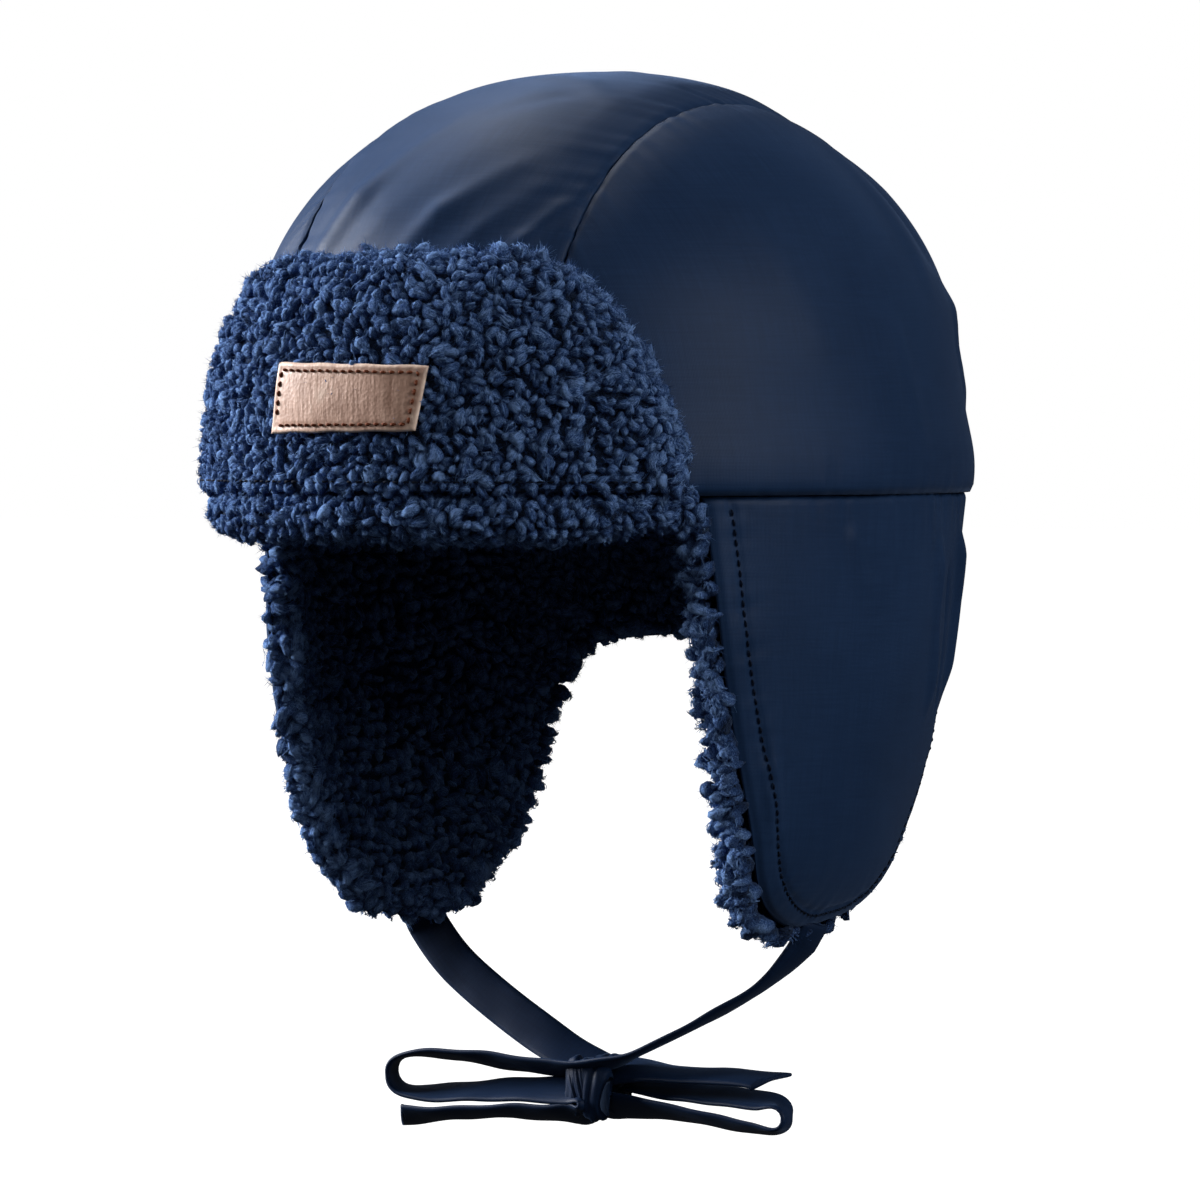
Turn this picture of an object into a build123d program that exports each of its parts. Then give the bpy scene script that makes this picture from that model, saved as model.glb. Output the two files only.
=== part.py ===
from build123d import *
import math
import os

os.makedirs("parts", exist_ok=True)

# Trapper hat for a small child: nylon shell, sherpa lining, turned-up front brim,
# two ear flaps and a pair of ties in a bow. Millimetres, +Z up, the front is -Y and
# the wearer's left is +X. The origin is the centre of the head opening, at the seam
# between the crown and the ear flap panels.

# ---- driving dimensions -------------------------------------------------------
HALF_WIDTH = 80.5          # outer half width of the shell at the waist seam
HALF_LENGTH = 99.5         # outer half length, front to back
MEAN_RADIUS = (HALF_WIDTH + HALF_LENGTH) / 2
STRETCH_X = HALF_WIDTH / MEAN_RADIUS
STRETCH_Y = HALF_LENGTH / MEAN_RADIUS
CROWN_HEIGHT = 99.0
CROWN_POWER = 2.3          # superellipse exponent of the crown's profile
SHELL_T = 1.0              # nylon shell with its seam allowance
LINING_GAP = 0.2           # between shell and sherpa lining
LINING_IN = 9.0            # depth of the sherpa's inner face below the shell
SEAM_X = 38.0              # half width of the centre crown panel
SEAM_W = 1.0               # width of a stitched seam
CLEAR = 0.3                # between pieces that move apart

SKIRT_DEPTH = 104.0        # reference depth of the skirt's taper
SKIRT_TAPER = 0.21         # how much the skirt narrows down to that depth
SKIRT_CURL = 0.14          # extra inward curl close to the flap tips
NAPE_Z = -37.0             # lower edge of the nape
FRONT_Y = -60.0            # front end of the ear flap panel at the waist seam
HINGE_Z = -8.0             # line along which an ear flap folds up
FLAP_BACK_Y = 66.0         # rear limit of the part of the panel that lifts
FLAP_TIP_Z = -102.5
PANEL_EDGE = [             # lower edge of flap and nape from the side, (Y, Z)
    (FRONT_Y, 0), (-51, -40), (-38, -73), (-27, -92), (-10, -101), (6, FLAP_TIP_Z), (22, -99),
    (37, -90), (49, -75), (57, -58), (63, -46), (72, -39.5), (86, -37.5), (100, NAPE_Z), (130, NAPE_Z),
]
LINING_PROUD = 2.5         # sherpa beyond the shell's edge
TOPSTITCH_INSET = 6.5
THREAD_W = 0.8
THREAD_H = 0.4
THREAD_GAP = 0.02          # thread's underside clear of the cloth
SEAM_GAP = 0.05            # between a seam and the panels beside it
HEM_HALF = 40.0            # half width of the nape's stitch line

BRIM_TOP_Z = 52.0
BRIM_HALF_WIDTH = 67.0     # at the foot
BRIM_TOP_HALF = 36.0       # half width of the brim's straight top edge
BRIM_SIDE = [(0, 0.6), (-3, 20), (-13, 37)]   # side edge: inwards from the foot's end, and Z
BACKING_INSET = 1.5        # nylon backing inside the sherpa's outline
FOOT_STITCH_Z = 3.0
FOOT_STITCH_INSET = 2.0
BRIM_BACKING = (0.5, 1.4)  # distances outside the shell's surface
BRIM_FACING = (1.6, 10.0)
ROLL_DEPTH = 12.0          # sherpa roll under the brim
ROLL_Y = -64.0             # rear ends of the roll

LABEL_SIZE = (40.0, 15.0)
LABEL_T = 1.6
LABEL_CENTRE = (4.0, 23.5)
LABEL_LIFT = 0.1           # off the sherpa
LABEL_STITCH = (1.3, 2.1)  # stitch line's limits in from the patch's edge

TAB_X = 53.0               # tie exit at the tip of the left flap
TAB_Y = 3.0
TIE_PIVOT_Z = -106.0
TAB_SIZE = (1.2, 10.0, 8.0)
TAB_ROOM = 0.2
TAB_NOTCH_R = 11.5         # room in the sherpa for the tie to swing
TIE_D = 3.0                # round tube with the section of the flat 10 mm tie
KNOT_X = 4.5               # half width of the knot
KNOT_Z = (-149.7, -133.5)
KNOT_FRONT_Y = (-10.2, -4.3)
KNOT_REAR_Y = (-3.7, 5.0)
KNOT_ROUND = 2.2

ELASTIC_HALF = 44.0
ELASTIC_Z = (-34.5, -26.5)
NAPE_ELASTIC = (1.05, 2.05)   # distances inside the shell's surface
NAPE_LINING_OUT = 2.1

# Routes of the two ties, from the flap tip to the cut end.
TIE_ROUTE_LEFT = [
    (53, 3, -106), (48, 1, -113), (36, -2.5, -121), (21, -6.5, -129),
    (7, -7.2, -135.6), (-8, -7.2, -138), (-25, -7.5, -136.8), (-44, -8, -135.8),
    (-56.5, -8, -137.8), (-56, -7.8, -145.6), (-43, -7.5, -145.8), (-25, -7.2, -143.4),
    (-9, -7, -142.4), (1, -7, -142.1), (1, -7, -148), (-8.5, -7, -148.6),
    (-24, -7.3, -149), (-41, -7.8, -150.9), (-56, -8, -152.4),
]
TIE_ROUTE_RIGHT = [
    (-53, 3, -106), (-48, 3.2, -113), (-37, 3, -121), (-22.5, 2.8, -129.6),
    (-8, 2.7, -136.8), (7, 2.8, -140.4), (23, 1.5, -141.9), (40, -0.5, -142),
    (51.5, -1.2, -142.6), (51, -1.5, -149.2), (38, -1.6, -148.6), (22, -1.8, -146.8),
    (9, -1.8, -146.3), (-0.5, -1.8, -146.5), (-0.8, -1.8, -137.8), (9, -1.8, -136.7),
    (24, -1.9, -137.2), (38, -2, -136.3), (50, -2, -137.4),
]


FAR = 200.0                # past every piece, for cutting
ALL = (-FAR, FAR)


# ---- shared surfaces ----------------------------------------------------------
# Crown and skirt pieces are cut out of round layers, MEAN_RADIUS at the waist seam,
# and oval() stretches each finished piece to the head's oval. Cutters take real
# X and Y, and squeeze them to match.
def oval(piece):
    return scale(piece, by=(STRETCH_X, STRETCH_Y, 1))


def skirt_scale(z):
    """Width of the skirt below the seam, as a share of its width at the seam."""
    depth = -z / SKIRT_DEPTH
    return 1 - SKIRT_TAPER * depth ** 1.5 - SKIRT_CURL * depth ** 10


def round_layer(outer_curve, inner_curve):
    caps = [Line(outer_curve @ 0, inner_curve @ 0), Line(outer_curve @ 1, inner_curve @ 1)]
    return revolve(make_face([outer_curve, inner_curve, *caps]), axis=Axis.Z)


def crown_curve(inset):
    """Crown profile from the seam to the top, moved inwards by inset."""
    radius, height = MEAN_RADIUS - inset, CROWN_HEIGHT - inset
    power = 2 / CROWN_POWER
    angles = [math.radians(a) for a in (0, 12, 25, 38, 52, 66, 78)]
    points = [(radius * math.cos(a) ** power, 0, height * math.sin(a) ** power) for a in angles]
    return Spline(*points, (0, 0, height), tangents=[(0, 0, 1), (-1, 0, 0)])


def skirt_curve(inset):
    """Skirt profile from the seam down past the flap tips."""
    depths = (0, -20, -40, -60, -78, -90, -98, -106)
    return Spline(*[((MEAN_RADIUS - inset) * skirt_scale(z), 0, z) for z in depths])


def crown_layer(outer, inner):
    return round_layer(crown_curve(outer), crown_curve(inner))


def skirt_layer(outer, inner):
    return round_layer(skirt_curve(outer), skirt_curve(inner))


def slab(x=ALL, y=ALL, z=ALL):
    """Box between two limits on each axis."""
    size = [hi - lo for lo, hi in (x, y, z)]
    centre = [(hi + lo) / 2 for lo, hi in (x, y, z)]
    return Pos(*centre) * Box(*size)


def cutter(x=ALL, y=ALL, z=ALL):
    """The same box, squeezed to cut a round layer."""
    return slab([v / STRETCH_X for v in x], [v / STRETCH_Y for v in y], z)


def panel_prism(grow=0.0):
    """Everything above the lower edge of the ear flaps and the nape, as seen from the side."""
    points = [(0, y / STRETCH_Y, z) for y, z in PANEL_EDGE]
    front, back = points[0], points[-1]
    closing = Polyline(back, (0, back[1], BRIM_TOP_Z), (0, front[1], BRIM_TOP_Z), front)
    face = make_face([Spline(*points), closing])
    if grow:
        face = offset(face, amount=grow)
    return extrude(face, amount=FAR, dir=(1, 0, 0), both=True)


# ---- crown --------------------------------------------------------------------
def crown_parts():
    """Three shell panels, three lining panels and the two seams between them."""
    shell = crown_layer(0, SHELL_T)
    lining = crown_layer(SHELL_T + LINING_GAP, LINING_IN)
    seam = crown_layer(-THREAD_H, SHELL_T)
    shell_cut = SEAM_X + SEAM_W / 2 + SEAM_GAP
    shell_centre = SEAM_X - SEAM_W / 2 - SEAM_GAP
    lining_centre = SEAM_X - LINING_GAP / 2
    parts = {
        "crown_centre_panel": shell & cutter(x=(-shell_centre, shell_centre)),
        "crown_lining_centre": lining & cutter(x=(-lining_centre, lining_centre)),
        "crown_side_panel_left": shell & cutter(x=(shell_cut, FAR)),
        "crown_lining_left": lining & cutter(x=(SEAM_X + LINING_GAP / 2, FAR)),
        "crown_seam_left": seam & cutter(x=(SEAM_X - SEAM_W / 2, SEAM_X + SEAM_W / 2)),
    }
    for name in ("crown_side_panel", "crown_lining", "crown_seam"):
        parts[f"{name}_right"] = mirror(parts[f"{name}_left"], about=Plane.YZ)
    return {name: oval(piece) for name, piece in parts.items()}


# ---- skirt: waist seam, nape and ear flaps ------------------------------------
def nape_parts():
    """Waist seam and the fixed part of the panel below it: nape and strip above the fold."""
    ring = skirt_layer(-THREAD_H, SHELL_T)
    lifting = cutter(y=(-FAR, FLAP_BACK_Y + CLEAR), z=(-FAR, HINGE_Z))
    shell = skirt_layer(0, SHELL_T) & cutter(z=(-FAR, -SEAM_W - SEAM_GAP))
    lining = skirt_layer(NAPE_LINING_OUT, LINING_IN) & cutter(z=(-FAR, -LINING_GAP / 2))
    elastic = skirt_layer(*NAPE_ELASTIC)
    hem = skirt_layer(-THREAD_H, -THREAD_GAP)
    hem_z = NAPE_Z + TOPSTITCH_INSET
    parts = {
        "waist_seam": ring & cutter(y=(FRONT_Y, FAR), z=(-SEAM_W, -SEAM_GAP)),
        "nape_panel": (shell - lifting) & panel_prism(),
        "nape_lining": (lining - lifting) & panel_prism(LINING_PROUD),
        "nape_elastic": elastic & cutter((-ELASTIC_HALF, ELASTIC_HALF), (0, FAR), ELASTIC_Z),
        "nape_topstitch": hem & cutter((-HEM_HALF, HEM_HALF), (0, FAR), (hem_z, hem_z + THREAD_W)),
    }
    return {name: oval(piece) for name, piece in parts.items()}


def tie_tab():
    """Folded end of the left tie, sewn in at the flap's tip."""
    low = TIE_PIVOT_Z + TIE_D / 2 + CLEAR
    dx, dy, dz = TAB_SIZE
    return slab((TAB_X - dx / 2, TAB_X + dx / 2), (TAB_Y - dy / 2, TAB_Y + dy / 2), (low, low + dz))


def flap_parts():
    """Shell, lining and topstitch of the left ear flap, and the tab of its tie."""
    window = cutter(x=(0, FAR), y=(-FAR, FLAP_BACK_Y), z=(-FAR, HINGE_Z - CLEAR))
    pivot = Pos(TAB_X / STRETCH_X, TAB_Y / STRETCH_Y, TIE_PIVOT_Z)
    swing_room = pivot * Rot(90, 0, 0) * Cylinder(TAB_NOTCH_R, TAB_SIZE[1] + 4)
    low = TIE_PIVOT_Z + TIE_D / 2
    half_x, half_y = TAB_SIZE[0] / 2 + TAB_ROOM, TAB_SIZE[1] / 2 + TAB_ROOM
    slot = cutter((TAB_X - half_x, TAB_X + half_x), (TAB_Y - half_y, TAB_Y + half_y),
                  (TIE_PIVOT_Z, low + CLEAR + TAB_SIZE[2] + TAB_ROOM))
    shell = (skirt_layer(0, SHELL_T) & window & panel_prism()) - slot
    lining = skirt_layer(SHELL_T + LINING_GAP, LINING_IN) & window & panel_prism(LINING_PROUD)
    track = panel_prism(-TOPSTITCH_INSET) - panel_prism(-TOPSTITCH_INSET - THREAD_W)
    thread = skirt_layer(-THREAD_H, -THREAD_GAP) & window & track
    left = {"ear_flap_shell": oval(shell), "ear_flap_lining": oval(lining - swing_room - slot),
            "ear_flap_topstitch": oval(thread), "tie_tab": tie_tab()}
    both = {}
    for name, piece in left.items():
        both[f"{name}_left"] = piece
        both[f"{name}_right"] = mirror(piece, about=Plane.YZ)
    return both


# ---- brim and front roll ------------------------------------------------------
def brim_prism(grow=0.0):
    """Front view of the turned-up brim, carried forwards through the crown's layers."""
    foot = (BRIM_HALF_WIDTH + grow) / STRETCH_X
    corner = BRIM_TOP_HALF / STRETCH_X
    top, low = BRIM_TOP_Z + grow, BRIM_SIDE[0][1] - grow
    edge = [(foot, 0, low), *[(foot + x, 0, z) for x, z in BRIM_SIDE[1:]], (corner, 0, top)]
    right = Spline(*edge, tangents=[(0, 0, 1), (-1, 0, 0)])
    left = mirror(right, about=Plane.YZ)
    head = Line((corner, 0, top), (-corner, 0, top))
    base = Line((-foot, 0, low), (foot, 0, low))
    return extrude(make_face([right, head, left, base]), amount=FAR, dir=(0, -1, 0))


def brim_parts():
    """Nylon backing, sherpa facing and foot stitching of the brim, and the roll below it."""
    near, far = BRIM_BACKING
    backing = crown_layer(-far, -near) & brim_prism(-BACKING_INSET)
    near, far = BRIM_FACING
    facing = crown_layer(-far, -near) & brim_prism()
    stitch = crown_layer(-far - THREAD_H, -far - THREAD_GAP) & brim_prism(-FOOT_STITCH_INSET)
    stitch_line = cutter(z=(FOOT_STITCH_Z, FOOT_STITCH_Z + THREAD_W))
    roll = skirt_layer(-far, LINING_IN) & cutter(y=(-FAR, ROLL_Y), z=(-ROLL_DEPTH, -CLEAR))
    return {"brim_backing": oval(backing), "brim_facing": oval(facing),
            "brim_foot_stitching": oval(stitch & stitch_line), "front_roll": oval(roll)}


def label_parts():
    """Blank leather patch on the brim, with a running stitch round its edge."""
    wide, high = LABEL_SIZE[0] / STRETCH_X, LABEL_SIZE[1]
    x, z = LABEL_CENTRE
    plane = Plane(origin=(x / STRETCH_X, 0, z), x_dir=(1, 0, 0), z_dir=(0, -1, 0))
    back = -BRIM_FACING[1] - LABEL_LIFT
    front = back - LABEL_T
    patch = crown_layer(front, back) & extrude(plane * Rectangle(wide, high), amount=FAR)
    outer, inner = [Rectangle(wide - 2 * edge, high - 2 * edge) for edge in LABEL_STITCH]
    ring = extrude(plane * (outer - inner), amount=FAR)
    stitches = crown_layer(front - THREAD_H, front - THREAD_GAP) & ring
    return {"label_patch": oval(patch), "label_stitching": oval(stitches)}


# ---- ties ---------------------------------------------------------------------
def corner_radii(points):
    """Largest even arcs that the runs beside each corner leave room for."""
    radii = []
    for before, here, after in zip(points, points[1:], points[2:]):
        run_in, run_out = Vector(*here) - Vector(*before), Vector(*after) - Vector(*here)
        half_turn = math.radians(run_in.get_angle(run_out)) / 2
        radii.append(0.45 * min(run_in.length, run_out.length) / math.tan(half_turn))
    return radii


def tie_tube(name, points):
    radii = corner_radii(points)
    path = FilletPolyline(*points, radius=radii)
    start = Plane(origin=path @ 0, z_dir=path % 0)
    tube = sweep(start * Circle(TIE_D / 2), path=path) + Pos(*points[0]) * Sphere(TIE_D / 2)
    expected = math.pi * TIE_D ** 2 / 4 * path.length + math.pi * TIE_D ** 3 / 12
    print(name, "length", round(path.length, 1), "radii", [round(r, 1) for r in radii])
    print(name, "volume", round(tube.volume), "section times length", round(expected))
    return tube


def knot_half(y_range):
    block = slab((-KNOT_X, KNOT_X), y_range, KNOT_Z)
    return fillet(block.edges(), KNOT_ROUND)


# ---- assembly -----------------------------------------------------------------
def tie_parts():
    return {"tie_left": tie_tube("tie_left", TIE_ROUTE_LEFT),
            "tie_right": tie_tube("tie_right", TIE_ROUTE_RIGHT),
            "bow_knot_left": knot_half(KNOT_FRONT_Y), "bow_knot_right": knot_half(KNOT_REAR_Y)}


for group in (crown_parts, nape_parts, flap_parts, brim_parts, label_parts, tie_parts):
    for node, shape in group().items():
        export_step(shape, f"parts/{node}.step")
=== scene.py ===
import math
import bmesh
import bpy
import numpy as np
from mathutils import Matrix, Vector


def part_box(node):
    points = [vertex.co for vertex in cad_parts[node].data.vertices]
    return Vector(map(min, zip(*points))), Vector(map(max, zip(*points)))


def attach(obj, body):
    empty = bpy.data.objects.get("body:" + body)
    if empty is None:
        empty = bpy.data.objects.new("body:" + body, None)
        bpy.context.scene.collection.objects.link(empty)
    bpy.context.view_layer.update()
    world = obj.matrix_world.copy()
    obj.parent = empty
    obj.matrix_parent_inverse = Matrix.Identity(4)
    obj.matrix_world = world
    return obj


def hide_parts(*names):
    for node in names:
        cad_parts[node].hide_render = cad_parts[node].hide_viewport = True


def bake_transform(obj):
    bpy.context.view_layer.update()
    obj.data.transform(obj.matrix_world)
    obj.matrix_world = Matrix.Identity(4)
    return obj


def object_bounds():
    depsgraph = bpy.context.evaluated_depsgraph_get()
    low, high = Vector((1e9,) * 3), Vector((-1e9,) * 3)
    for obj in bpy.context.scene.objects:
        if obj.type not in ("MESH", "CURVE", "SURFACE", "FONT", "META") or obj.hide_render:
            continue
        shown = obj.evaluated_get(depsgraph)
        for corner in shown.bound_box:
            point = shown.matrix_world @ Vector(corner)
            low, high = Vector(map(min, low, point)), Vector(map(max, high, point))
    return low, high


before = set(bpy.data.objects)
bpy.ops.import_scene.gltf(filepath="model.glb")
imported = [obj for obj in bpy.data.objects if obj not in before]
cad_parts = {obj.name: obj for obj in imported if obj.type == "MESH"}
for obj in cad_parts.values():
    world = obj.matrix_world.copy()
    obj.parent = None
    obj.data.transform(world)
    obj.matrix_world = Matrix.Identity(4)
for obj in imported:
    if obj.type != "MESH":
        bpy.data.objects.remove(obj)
cad_low, cad_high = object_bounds()
MM = 0.001
scene = bpy.context.scene
collection = scene.collection

# ---- camera, light and floor --------------------------------------------------
VIEW_AZ, VIEW_EL, VIEW_FAR = math.radians(32.5), math.radians(1.8), 1.2
VIEW_LENS = 151.5
TO_VIEWER = np.array((math.sin(VIEW_AZ) * math.cos(VIEW_EL),
                      -math.cos(VIEW_AZ) * math.cos(VIEW_EL), math.sin(VIEW_EL)))
# Name, place, target, side and power of each softbox.
SOFTBOXES = [
    ("key", (-2.25, -0.6, 0.75), (0, 0, 0.02), 1.0, 180),
    ("side", (2.2, 0.1, 0.75), (0, 0, -0.02), 1.2, 32),
    ("front", (0.9, -2.0, 1.3), (0, 0, 0), 1.2, 7),
    ("top", (-0.9, 0.5, 2.0), (0, 0, 0.05), 1.2, 25),
]
WORLD_LIGHT, WORLD_SEEN = 0.05, 1.0   # what the backdrop sheds, and how bright it looks


def link_object(name, data):
    obj = bpy.data.objects.new(name, data)
    collection.objects.link(obj)
    return obj


def look_at(obj, target):
    obj.rotation_euler = (Vector(target) - obj.location).to_track_quat("-Z", "Y").to_euler()


def make_camera():
    data = bpy.data.cameras.new("camera")
    data.lens, data.sensor_width, data.clip_end = VIEW_LENS, 36, 30
    scene.camera = link_object("camera", data)
    target = Vector((0, 0, (cad_low.z + cad_high.z) / 2 + 1.5 * MM))
    target -= Vector((math.cos(VIEW_AZ), math.sin(VIEW_AZ), 0)) * 1.1 * MM
    scene.camera.location = target + Vector(TO_VIEWER * VIEW_FAR)
    look_at(scene.camera, target)


def make_studio():
    for name, place, target, side, power in SOFTBOXES:
        data = bpy.data.lights.new(name, "AREA")
        data.shape, data.size, data.size_y, data.energy = "RECTANGLE", side, side, power
        lamp = link_object(name, data)
        lamp.location = place
        look_at(lamp, target)
    world = bpy.data.worlds.new("studio")
    world.use_nodes = True
    nodes, links = world.node_tree.nodes, world.node_tree.links
    nodes.clear()
    out, mixed = nodes.new("ShaderNodeOutputWorld"), nodes.new("ShaderNodeMixShader")
    links.new(nodes.new("ShaderNodeLightPath").outputs["Is Camera Ray"], mixed.inputs[0])
    for slot, strength in ((1, WORLD_LIGHT), (2, WORLD_SEEN)):
        back = nodes.new("ShaderNodeBackground")
        back.inputs["Color"].default_value = (1, 1, 1, 1)
        back.inputs["Strength"].default_value = strength
        links.new(back.outputs[0], mixed.inputs[slot])
    links.new(mixed.outputs[0], out.inputs[0])
    scene.world = world
    scene.view_settings.view_transform = "Standard"
    ground = bmesh.new()
    bmesh.ops.create_grid(ground, x_segments=12, y_segments=12, size=9)
    data = bpy.data.meshes.new("floor")
    ground.to_mesh(data)
    floor = link_object("floor", data)
    floor.location.z = cad_low.z - 30 * MM
    floor.data.materials.append(floor_material())
    floor.visible_diffuse = floor.visible_glossy = False


# ---- materials ----------------------------------------------------------------
class Finish:
    """A new material, with short ways to add nodes to it."""

    OUTPUTS = {"Noise": 0, "Wave": "Fac", "Voronoi": "Distance"}

    def __init__(self, name, **values):
        self.material = bpy.data.materials.new(name)
        self.material.use_nodes = True
        self.nodes, self.links = self.material.node_tree.nodes, self.material.node_tree.links
        self.shader = self.nodes["Principled BSDF"].inputs
        for key, value in values.items():
            self.shader[key.replace("_", " ").title().replace("Ior", "IOR")].default_value = value

    def add(self, kind, *linked, **values):
        """A node, its first inputs linked to outputs and others set by name."""
        node = self.nodes.new("ShaderNode" + kind)
        for output, entry in zip(linked, node.inputs):
            self.links.new(output, entry)
        for key, value in values.items():
            node.inputs[key.replace("_", " ").title()].default_value = value
        return node

    def coords(self):
        return self.add("TexCoord").outputs["Object"]

    def attribute(self, name, output):
        node = self.add("Attribute")
        node.attribute_name = name
        return node.outputs[output]

    def texture(self, kind, vector, bands=None, **values):
        node = self.add("Tex" + kind, vector, **values)
        if bands:
            node.bands_direction = bands
        return node.outputs[self.OUTPUTS[kind]]

    def stretched(self, vector, scale):
        return self.add("Mapping", vector, scale=scale).outputs[0]

    def combine(self, a, b, operation):
        node = self.add("Math", a, b)
        node.operation = operation
        return node.outputs[0]

    def mapped(self, value, **limits):
        return self.add("MapRange", value, **limits).outputs[0]

    def colour(self, value, stops):
        """Base colour from a value, through stops of (position, colour)."""
        node = self.add("ValToRGB", value)
        while len(node.color_ramp.elements) < len(stops):
            node.color_ramp.elements.new(0.5)
        for element, (where, shade) in zip(node.color_ramp.elements, stops):
            element.position, element.color = where, (*shade, 1)
        self.links.new(node.outputs[0], self.shader["Base Color"])

    def bump(self, *layers):
        """Chain of bumps, each (height output, distance in metres, strength)."""
        last = None
        for height, distance, strength in layers:
            node = self.add("Bump", distance=distance, strength=strength)
            self.links.new(height, node.inputs["Height"])
            if last is not None:
                self.links.new(last, node.inputs["Normal"])
            last = node.outputs[0]
        self.links.new(last, self.shader["Normal"])


def floor_material():
    """Pale paper floor, lit evenly."""
    paper = Finish("pale_floor", roughness=0.9, emission_strength=1.0, emission_color=(1, 1, 1, 1))
    grain = paper.texture("Noise", paper.coords(), scale=40.0, detail=3.0)
    paper.colour(grain, [(0.3, (0.10, 0.10, 0.10)), (0.7, (0.11, 0.11, 0.11))])
    return paper.material


def nylon_material(name, dark, light, roughness, sheen):
    """Fine plain weave; the map "weave" runs along the cloth in metres."""
    nylon = Finish(name, roughness=roughness, sheen_weight=sheen, sheen_roughness=0.35,
                   sheen_tint=(0.35, 0.55, 1.0, 1), specular_ior_level=0.1)
    cloth = nylon.add("UVMap")
    cloth.uv_map = "weave"
    cloth = cloth.outputs[0]
    across = nylon.texture("Wave", cloth, scale=850.0, distortion=0.6, detail=1.0)
    along = nylon.texture("Wave", cloth, "Y", scale=1000.0, distortion=0.6, detail=1.0)
    slubs = nylon.texture("Noise", nylon.stretched(cloth, (1500, 70, 1)), scale=1.0, detail=3.0)
    wefts = nylon.texture("Noise", nylon.stretched(cloth, (60, 1700, 1)), scale=1.0, detail=3.0)
    cloud = nylon.texture("Noise", cloth, scale=22.0, detail=3.0)
    streaks = nylon.combine(slubs, wefts, "MULTIPLY")
    nylon.colour(nylon.combine(streaks, cloud, "ADD"), [(0.5, dark), (1.0, light)])
    rough = nylon.mapped(cloud, to_min=roughness - 0.07, to_max=roughness + 0.1)
    nylon.links.new(rough, nylon.shader["Roughness"])
    weave = nylon.combine(across, along, "MULTIPLY")
    nylon.bump((weave, 0.00005, 0.5), (streaks, 0.0001, 0.3))
    return nylon.material


def sherpa_material(name, shades):
    """Curly pile: "tone" is dark at the root of a curl and light at its crest, painted shade and painted
    highlight, and
    "pile" holds each curl's own axes, so that the fibres run along it."""
    sherpa = Finish(name, roughness=0.95, sheen_weight=0.2, sheen_roughness=0.5,
                    sheen_tint=(0.35, 0.55, 1.0, 1), specular_ior_level=0.08)
    tone, pile = sherpa.attribute("tone", "Fac"), sherpa.attribute("pile", "Vector")
    fibres = sherpa.texture("Noise", sherpa.stretched(pile, (0.8, 4.2, 4.2)),
                            scale=1.0, detail=4.0, roughness=0.7)
    knots = sherpa.texture("Noise", pile, scale=0.9, detail=2.0)
    shift = sherpa.mapped(fibres, from_min=0.34, from_max=0.66, to_min=-0.3, to_max=0.3)
    # Base colour from tone: painted shade at the curls' roots and painted highlight on their crests, shifted along
    # the fibres.
    sherpa.colour(sherpa.combine(tone, shift, "ADD"), shades)
    sherpa.bump((knots, 0.0008, 0.7), (fibres, 0.0008, 1.0))
    return sherpa.material


def leather_material():
    leather = Finish("patch_leather", roughness=0.5, specular_ior_level=0.4,
                     coat_weight=0.08, coat_roughness=0.4)
    coords = leather.coords()
    cells = leather.texture("Voronoi", coords, scale=1300.0)
    folds = leather.texture("Noise", leather.stretched(coords, (900, 900, 160)), scale=1.0, detail=5.0)
    cloud = leather.texture("Noise", coords, scale=120.0, detail=4.0)
    tone = leather.combine(leather.combine(folds, cloud, "MULTIPLY"),
                           leather.attribute("wear", "Fac"), "ADD")
    leather.colour(tone, [(0.1, (0.30, 0.165, 0.115)), (0.3, (0.50, 0.31, 0.235)),
                          (0.5, (0.62, 0.45, 0.36)), (0.8, (0.86, 0.68, 0.56))])
    leather.bump((folds, 0.0003, 0.5), (cells, 0.0001, 0.5))
    return leather.material


def thread_material(name, dark, light):
    thread = Finish(name, roughness=0.75, specular_ior_level=0.1)
    plies = thread.texture("Wave", thread.attribute("twist", "Vector"), "DIAGONAL", scale=1.2, distortion=0.4)
    thread.colour(plies, [(0.2, dark), (0.8, light)])
    thread.bump((plies, 0.0001, 0.7))
    return thread.material


# ---- small tools --------------------------------------------------------------
def unit(v):
    return v / np.maximum(np.linalg.norm(v, axis=-1, keepdims=True), 1e-12)


def smooth_step(x):
    x = np.clip(x, 0, 1)
    return x * x * (3 - 2 * x)


def round_over(gap, radius):
    """From 0 at the edge to 1 once past the radius, like a quarter circle."""
    t = np.clip(gap / radius, 0, 1)
    return np.sqrt(np.maximum(1 - (1 - t) ** 2, 0))


def bell(x, wide):
    """1 at x = 0, falling off to both sides."""
    return np.exp(-(x / wide) ** 2)


def smoothed(values, times):
    """Every value but the first and the last averaged with its neighbours."""
    for _ in range(times):
        values[1:-1] = (values[:-2] + 2 * values[1:-1] + values[2:]) / 4
    return values


def soft_noise(p, scale, seed, waves=7):
    """Smooth noise of about -1 to 1 from a few sine waves; scale is its wavelength."""
    gen = np.random.default_rng(seed)
    total = np.zeros(p.shape[:-1])
    for _ in range(waves):
        direction = unit(gen.normal(size=3)) * gen.uniform(0.7, 1.5) * 2 * math.pi / scale
        total += np.sin(p @ direction + gen.uniform(0, 6.28))
    return total / math.sqrt(waves)


def runs(line):
    """How far along a line of points each of them lies."""
    return np.concatenate([[0], np.cumsum(np.linalg.norm(np.diff(line, axis=0), axis=1))])


def at_runs(where, run, values):
    """Values given at each run, read off at other places."""
    return np.stack([np.interp(where, run, values[:, k]) for k in range(values.shape[1])], axis=-1)


def resample(line, count):
    run = runs(line)
    return at_runs(np.linspace(0, run[-1], count), run, line)


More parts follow.
